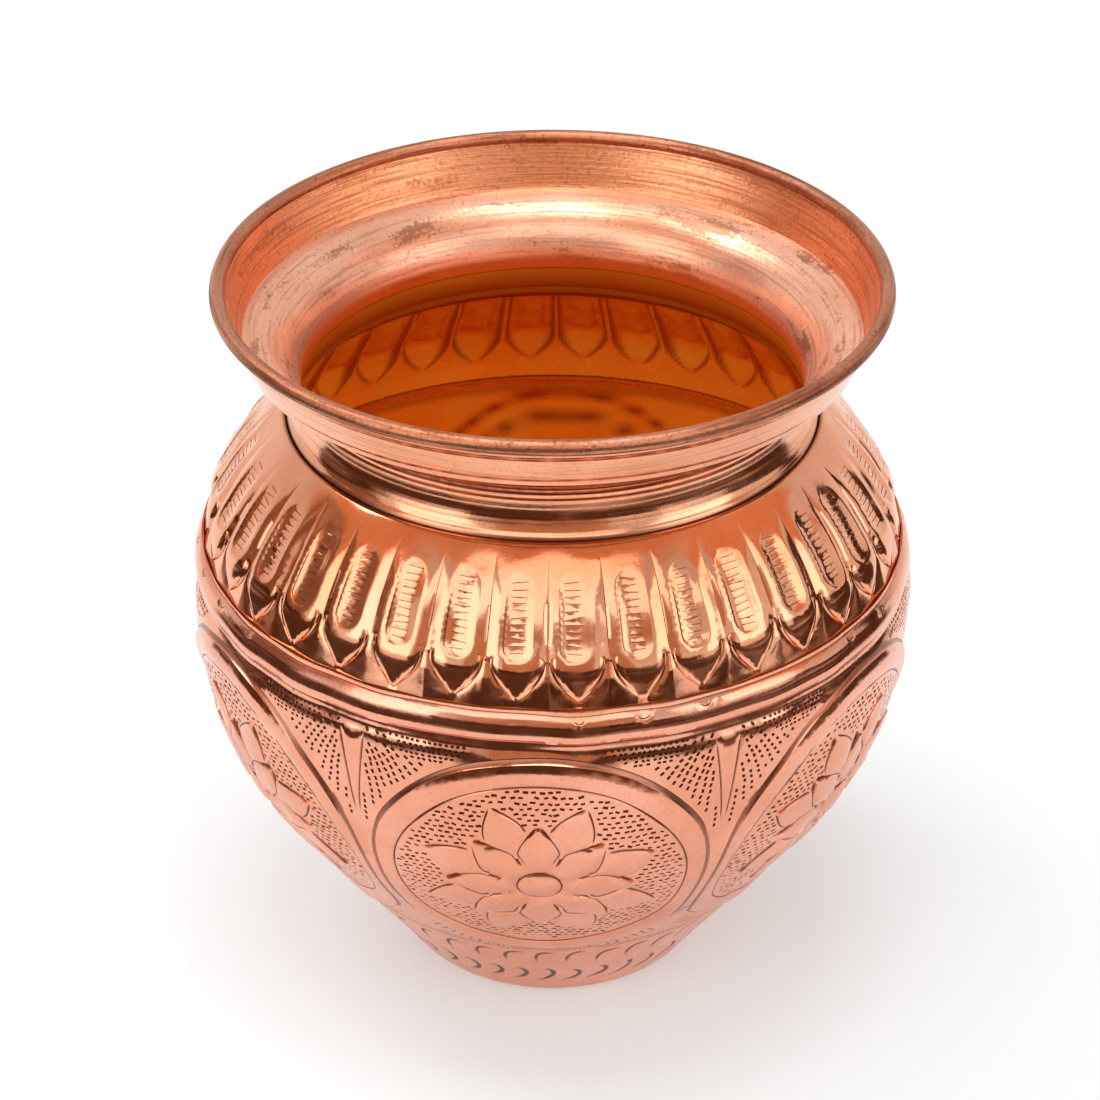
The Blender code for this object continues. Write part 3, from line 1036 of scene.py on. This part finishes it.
def chased_bowl(materials):
    """Base, conical wall and belly, up to the seam."""
    sheet = Sheet(MEDALLION_PHASE - 2.5 * MEDALLION_PITCH)
    chase_foot(sheet)
    chase_roll(sheet)
    middles = [MEDALLION_PHASE + number * MEDALLION_PITCH for number in range(MEDALLIONS)]
    for middle in middles:
        chase_medallion(sheet, middle)
        chase_dart(sheet, middle + MEDALLION_PITCH / 2)
        for side in SIDES:
            chase_hatch(sheet, middle, side)
    for middle in middles:
        punch_ground(sheet, middle)
        for side in SIDES:
            punch_patch(sheet, middle, side)
            punch_fan(sheet, middle, side)
    shelf = run_at(SEAM_HEIGHT - SEAM_LINE)
    roll_foot = VALLEY_RUN - VALLEY_HALF
    bands = ((FOOT_RUN, roll_foot, BOWL_SPACING), (roll_foot, shelf, ROLL_SPACING))
    shell, bottom, top = carve(sheet, bowl_relief, bands, BOWL_COLUMNS)
    angles = columns(BOWL_COLUMNS, sheet.seam)
    inner = [top]
    for run in np.linspace(run_at(SEAM_HEIGHT - GAP), FOOT_RUN, BOWL_INNER_ROWS):
        inner.append(shell.add(on_wall(angles, run, bowl_inside(angles, run)), ring_shade(angles, run)))
    # Painted shade on the pot's inner floor
    inner += base_rows(shell, angles, SHEET, BOTTOM_SHADE)
    shell.rows(inner[:2])
    shell.rows(inner[1:], 1)
    shell.cap(inner[-1], SHEET, 1, ends=True)
    foot = [bottom] + base_rows(shell, angles, 0.0)
    shell.rows(foot[::-1])
    shell.cap(foot[-1], 0.0)
    shell.piece("chased_bowl", materials, "lower_bowl", "body_copper")


def shoulder_inside(angle, run):
    """Height of the shoulder's inner skin, where the petals are hollows."""
    near = smooth((run - SEAM_RUN) / LAP_BLEND)
    hollow = near * smooth((ROOT_RUN - 4.0 - run) / 5.0)
    relief = np.clip(shoulder_relief(angle, run), -0.05, 0.7)
    return (INNER_DEEP * relief - INNER_SET) * hollow - SHEET - LAP_THICK * (1.0 - near)


def petal_shade(angle, run):
    """Painted shade on the inner skin: the petals' outlines, their upper halves and a band up to the neck.
    """
    index, away, scale = petal_frame(angle, run)
    across = np.abs(away * scale - PETAL_SHIFT[index])
    half = petal_half(run, TIP_RUN + TIP_SHIFT[index])
    outline = 1.5 * bell(across, half, 0.5) * smooth((run - TIP_RUN) / 1.0)
    upper = 0.55 * smooth((half - across) / 1.0) * smooth((run - TIP_RUN - 3.0) / 4.0)
    throat = smooth((run - ROOT_RUN + 5.0) / 5.0)
    return INNER_SHADE * np.maximum(np.maximum(outline, upper), throat)


def ring_shade(angle, run):
    """Painted shade on the inner skin along the medallions' rings and the valley under the roll."""
    ring = medallion_frame(angle, run)[2]
    lines = 1.5 * (bell(ring, 1.0, 0.035) + bell(ring, INNER_RING, 0.03))
    return INNER_SHADE * np.maximum(lines, bell(run, VALLEY_RUN, 1.0))


def petal_shoulder(materials):
    """Upper half of the body with the chased petals and a tongue set into the bowl."""
    sheet = Sheet(PETAL_PHASE - 0.5 * FULL_TURN)
    chase_petals(sheet)
    bands = ((SEAM_RUN, ROOT_RUN, SHOULDER_SPACING),)
    shell, bottom, top = carve(sheet, shoulder_relief, bands, SHOULDER_COLUMNS)
    angles = columns(SHOULDER_COLUMNS, sheet.seam)
    edge = [top]
    # Rows curling down into the crease, with painted shade
    for depth, along, dark in CREASE:
        edge.append(shell.add(spun(angles, *wall_point(ROOT_HEIGHT, depth, along)), dark))
    shell.rows(edge)
    inner = [edge[-1]]
    for run in np.linspace(ROOT_RUN, SEAM_RUN, SHOULDER_INNER_ROWS):
        inner.append(shell.add(on_wall(angles, run, shoulder_inside(angles, run)), petal_shade(angles, run)))
    lap_radius, lap_top = wall_point(SEAM_HEIGHT, SHEET + GAP)
    inside = lap_radius - SHEET
    tongue = [(inside, SEAM_HEIGHT - part * (SEAM_HEIGHT - LAP_FOOT)) for part in np.linspace(0.25, 0.92, 5)]
    tongue += [(inside + 0.25, LAP_FOOT), (lap_radius - 0.2, LAP_FOOT), (lap_radius, lap_top)]
    inner += [shell.add(spun(angles, *point)) for point in tongue]
    shell.rows(inner, 1)
    shell.rows([inner[-1], bottom])
    shell.piece("petal_shoulder", materials, "shoulder_shell", "body_copper")


def arc(centre, radius, start, end, steps):
    """Points of a circular arc, angles in degrees."""
    turns = np.radians(np.linspace(start, end, steps))
    return [(centre[0] + radius * math.cos(a), centre[1] + radius * math.sin(a)) for a in turns]


def throat_arc(end_radius, end_height):
    """Centre, radius and end of the arc from the waist to this point."""
    across = end_radius - WAIST_RADIUS
    rise = end_height - WAIST_HEIGHT
    radius = (across**2 + rise**2) / (2 * across)
    sweep = math.degrees(math.asin(rise / radius))
    return (WAIST_RADIUS + radius, WAIST_HEIGHT), radius, 180 - sweep


def wall_point(height, depth, along=0.0):
    """Radius and height of a point this deep under the wall and this far on along its slope."""
    radius, level, tilt = wall(run_at(height))
    radius = radius - depth * math.cos(tilt) - along * math.sin(tilt)
    return float(radius), float(level - depth * math.sin(tilt) + along * math.cos(tilt))


def line_between(first, last, steps):
    """Points from first to last, both included."""
    return [tuple(p) for p in np.linspace(first, last, steps)]


def turned(points, marks):
    """Push a turned profile out or in at the lathe's lines."""
    points = np.array(points)
    along = np.gradient(points, axis=0)
    along /= np.linalg.norm(along, axis=1)[:, None]
    push = sum(size * bell(points[:, 1], height, width) for height, width, size in marks)
    return points + push[:, None] * np.stack([along[:, 1], -along[:, 0]], axis=1)


def spun_neck(materials):
    """Skirt inside the shoulder, neck, flared mouth and the lip curled over the wire."""
    skirt = SHEET + GAP
    lining = skirt + SHEET
    neck_foot = wall_point(ROOT_HEIGHT, NECK_SETBACK, NECK_CLEAR)
    low_centre, low_radius, low_angle = throat_arc(neck_foot[0], 2 * WAIST_HEIGHT - neck_foot[1])
    high_centre, high_radius, high_angle = throat_arc(FOLD_RADIUS, FOLD_HEIGHT)
    slit = arc(CURL_CENTRE, CURL_RADIUS - LIP_SHEET, CURL_SLIT, CURL_SLIT, 1)[0]
    outer = line_between(wall_point(SKIRT_FOOT, skirt), wall_point(ROOT_HEIGHT, skirt, GAP / 2), 6)
    outer += arc(low_centre, low_radius, 360 - low_angle, 180, 18)
    outer += arc(high_centre, high_radius, 180, high_angle, 44)[1:]
    outer += line_between((FOLD_RADIUS, FOLD_HEIGHT), slit, 30)[1:]
    outer = turned(outer, NECK_MARKS)
    curl = arc(CURL_CENTRE, CURL_RADIUS - LIP_SHEET, CURL_SLIT - 20, CURL_END, LIP_STEPS)
    curl += arc(CURL_CENTRE, CURL_RADIUS, CURL_END, CURL_START, 30)
    fold = arc(high_centre, high_radius + SHEET, high_angle, high_angle, 1)[0]
    inner = line_between(curl[-1], fold, 30)[1:]
    cone = len(inner)
    inner += arc(high_centre, high_radius + SHEET, high_angle, 180, 40)[1:]
    throat = len(inner)
    inner += arc(low_centre, low_radius + SHEET, 180, 360 - low_angle, 14)[1:]
    inner += line_between(wall_point(ROOT_HEIGHT, lining, GAP), wall_point(SKIRT_FOOT, lining), 5)
    inner = turned(inner, MOUTH_MARKS)
    shell = Shell()
    angles = columns(NECK_COLUMNS)

    def turn(point, dark):
        radius, height = point
        sway = ripple(SPIN_WAVES, angles, height)
        return shell.add(spun(angles, radius + sway, height + 0.4 * sway), dark)

    rows = []
    # Painted shade on the skirt and the neck's foot, in the crease under the shoulder
    for number, point in enumerate((*outer, *curl)):
        rows.append(turn(point, CREASE_DARK * smooth((9 - number) / 3)))
    # Painted shade: the skirt inside darkens towards its lower edge, the mouth's last rows turn orange-red
    # at the throat
    for number, point in enumerate(inner):
        depth = (number - throat) / (len(inner) - throat)
        glow = THROAT_TINT * smooth((number - throat + 12) / 11)
        rows.append(turn(point, SKIRT_SHADE + 0.3 * depth if depth > 0 else glow))
    lip_start = len(outer) + LIP_STEPS
    lip_end = len(outer) + len(curl)
    shell.rows(rows[: lip_start + 1])
    shell.rows(rows[lip_start:lip_end], 2)
    shell.rows(rows[lip_end - 1 : lip_end + cone], 1)
    shell.rows(rows[lip_end + cone - 1 : lip_end + throat + 1], 4)
    shell.rows(rows[lip_end + throat :] + rows[:1], 3)
    shell.piece("spun_neck", materials, "neck_collar", "neck_copper")


def lip_wire(material):
    """Wire core of the lip."""
    shell = Shell()
    section = arc(CURL_CENTRE, WIRE_RADIUS, 0, 330, 12)
    rows = [shell.add(spun(columns(WIRE_COLUMNS), *point)) for point in section]
    shell.rows(rows + rows[:1])
    shell.piece("lip_wire", [material], "rim_wire", "wire_copper")


def fillet(name, node, edge, size, skin, material, dark):
    """Fillet of brazing metal inside the wall, hollow-faced and a little uneven."""
    height, width = size
    shell = Shell()
    angles = columns(NECK_COLUMNS)
    part = np.linspace(0.0, 1.0, 9)
    runs = np.linspace(run_at(edge), run_at(edge - height), 9)
    lumps = make_waves(10, (12, 60), 0.0, 0.02)
    rows = [shell.add(on_wall(angles, run, skin(angles, run) - 0.06), dark) for run in runs]
    for run, step in zip(runs[::-1][1:], part[::-1][1:]):
        depth = width * (1.0 - step) ** 1.6 + 0.05 + ripple(lumps, angles, 0.0)
        rows.append(shell.add(on_wall(angles, run, -SHEET - GAP - depth), dark))
    shell.rows(rows[::-1] + rows[-1:])
    shell.piece(name, [material], node, "braze_metal")


def make_object():
    """All pieces of the pot."""
    bowl = copper("bowl_copper", (0.90, 0.40, 0.27, 1.0), 0.13, 0.05, 0.04, stains=0.25, foot_dull=0.14)
    shoulder = copper("shoulder_copper", (0.94, 0.42, 0.25, 1.0), 0.11, 0.04, 0.02, stains=0.2)
    neck = copper("neck_copper", (0.93, 0.43, 0.26, 1.0), 0.12, 0.06, 0.03, 2600.0)
    inside = copper(
        "inner_copper", (1.0, 0.42, 0.03, 1.0), 0.24, 0.06, 0.04, metallic=0.25, stains=0.08,
        clouded=INNER_CLOUDED, dirt_and_shade_tone=INNER_PAINTED_SHADE,
    )
    cone = copper("cone_copper", (0.96, 0.44, 0.24, 1.0), 0.32, 0.10, 0.2, 2200.0, stains=0.75, blotches=0.6)
    cavetto = copper(
        "cavetto_copper", (0.98, 0.54, 0.38, 1.0), 0.19, 0.06, 0.1, 2200.0, metallic=0.6, stains=0.6,
        blotches=0.9, dirt_and_shade_tone=THROAT_PAINTED_SHADE,
    )
    lip = copper("lip_copper", (0.64, 0.27, 0.16, 1.0), 0.38, 0.10, 0.3, 1200.0, stains=1.0, blotches=0.5)
    wire = copper("wire_copper", (0.62, 0.30, 0.19, 1.0), 0.40, 0.06, 0.05)
    braze = copper(
        "braze_metal", (1.0, 0.30, 0.02, 1.0), 0.30, 0.08, 0.08, metallic=0.36, stains=0.1,
        dirt_and_shade_tone=INNER_PAINTED_SHADE,
    )
    chased_bowl([bowl, inside])
    petal_shoulder([shoulder, inside])
    spun_neck([neck, cone, lip, inside, cavetto])
    lip_wire(wire)
    fillet("belly_fillet", "belly_braze", LAP_FOOT, BELLY_BRAZE, bowl_inside, braze, 0.0)
    # The neck's fillet, deep under the shoulder, gets painted shade
    fillet("neck_fillet", "neck_braze", SKIRT_FOOT - GAP, NECK_BRAZE, shoulder_inside, braze, 0.5)


def make_camera():
    """Camera at the photograph's viewing angle."""
    data = bpy.data.cameras.new("camera")
    data.sensor_width = 36.0
    data.lens = 143.2
    data.clip_start = 0.05
    data.clip_end = 30.0
    camera = new_object("camera", data)
    camera.location = (-0.00036, -0.56648, 0.4057)
    camera.rotation_euler = (math.radians(90.0 - 30.95), 0.0, 0.0)
    bpy.context.scene.camera = camera


def card(name, corners, faces, tone, seen):
    """Stage card; one that isn't seen shows only in the polished metal."""
    mesh = bpy.data.meshes.new(name)
    mesh.from_pydata(corners, [], faces)
    material = bpy.data.materials.new(name)
    nodes = Nodes(material)
    nodes.shader({"Base Color": tone, "Roughness": 0.9, "Specular IOR Level": 0.1})
    mesh.materials.append(material)
    made = new_object(name, mesh)
    made.visible_camera = seen
    made.visible_diffuse = seen
    made.visible_shadow = seen
    return nodes


def whiten(nodes, share):
    """Let the camera and the metal see part of the floor as white; its shadow stays."""
    path = nodes.make("LightPath", {})
    total = path["Is Camera Ray"]
    for ray in ("Is Glossy Ray", "Is Transmission Ray"):
        total = nodes.maths("ADD", total, path[ray], use_clamp=True)
    floor = nodes.tree.nodes["Principled BSDF"].outputs[0]
    white = nodes.make("Emission", {})[0]
    mix = nodes.make("MixShader", {0: nodes.maths("MULTIPLY", total, share), 1: floor, 2: white})
    nodes.shader({0: mix[0]}, "Material Output")


def bent_card(name, span, first, last, tone=ROOM_TONE):
    """Patchy card bent round the pot, between edges of these radii and heights."""
    turns = np.linspace(*span, 25)
    corners = np.concatenate([spun(turns, *first), spun(turns, *last)]).tolist()
    faces = [(i, i + 1, i + 26, i + 25) for i in range(24)]
    nodes = card(name, corners, faces, tone, False)
    patches = nodes.noise(nodes.place(), 3.2, 3.0, 0.5)
    nodes.shader({"Base Color": nodes.ramp(patches, ((0.55, tone), (0.78, PALE_TONE)))})


def make_stage():
    """White floor, and the darker room that only the polished metal sees."""
    floor = card("floor", spun(columns(60), 4.0, 0.0).tolist(), [range(59, -1, -1)], FLOOR_TONE, True)
    whiten(floor, FLOOR_WHITE)
    bent_card("table_edge", (-112.0, 114.0), (0.17, 0.004), (1.3, 0.004))
    for name, span in (("left", (-112.0, -70.0)), ("front", (-36.0, 44.0)), ("right", (74.0, 114.0))):
        bent_card(name + "_room", span, (1.3, 0.0), (1.3, 0.19))
    bent_card("camera_side", (-24.0, 24.0), (1.3, 0.19), (1.3, 0.85), CAMERA_TONE)
    bent_card("warm_ceiling", (-95.0, 95.0), (1.25, 1.65), (0.62, 2.1), CEILING_TONE)
    for name, span in (("left", (-112.0, -62.0)), ("right", (62.0, 112.0))):
        bent_card(name + "_ceiling", span, (1.75, 0.95), (1.25, 1.65), CEILING_TONE)
    bent_card("left_flag", (-108.0, -76.0), (1.4, 0.1), (1.4, 1.0), FLAG_TONE)
    bent_card("right_flag", (106.0, 120.0), (1.4, 0.1), (1.4, 0.6))


def softbox(name, heading, elevation, distance, wide, tall, radiance):
    """Large soft lamp that faces the pot."""
    aim = Vector((0.0, 0.0, 0.07))
    rise = math.radians(elevation)
    way = Vector(spun(heading, math.cos(rise), math.sin(rise)))
    data = bpy.data.lights.new(name, "AREA")
    data.shape = "RECTANGLE"
    data.size = wide
    data.size_y = tall
    data.energy = radiance * math.pi * wide * tall
    lamp = new_object(name, data)
    lamp.location = aim + distance * way
    lamp.rotation_mode = "QUATERNION"
    lamp.rotation_quaternion = (-way).to_track_quat("-Z", "Y")


def make_world():
    """Plain white surroundings, a little darker half-way up."""
    world = bpy.data.worlds.new("studio")
    bpy.context.scene.world = world
    nodes = Nodes(world)
    height = nodes.make("SeparateXYZ", {0: nodes.place("Generated")})[2]
    sky = nodes.ramp(height, [(position, (tone, tone, tone, 1.0)) for position, tone in SKY_TONES])
    nodes.shader({"Color": sky, "Strength": 1.0}, "Background")


make_camera()
make_object()
make_stage()
softbox("left_softbox", -50.0, 24.0, 1.6, 0.9, 1.15, 1.35)
softbox("right_softbox", 62.0, 23.0, 1.6, 0.85, 0.95, 1.35)
softbox("front_softbox", 0.0, 48.0, 1.7, 1.5, 0.75, 1.1)
softbox("top_softbox", 0.0, 89.0, 1.65, 0.85, 0.85, 3.3)
softbox("key_softbox", -112.0, 56.0, 1.6, 0.7, 0.7, 4.0)
make_world()
bpy.context.scene.view_settings.view_transform = "Standard"
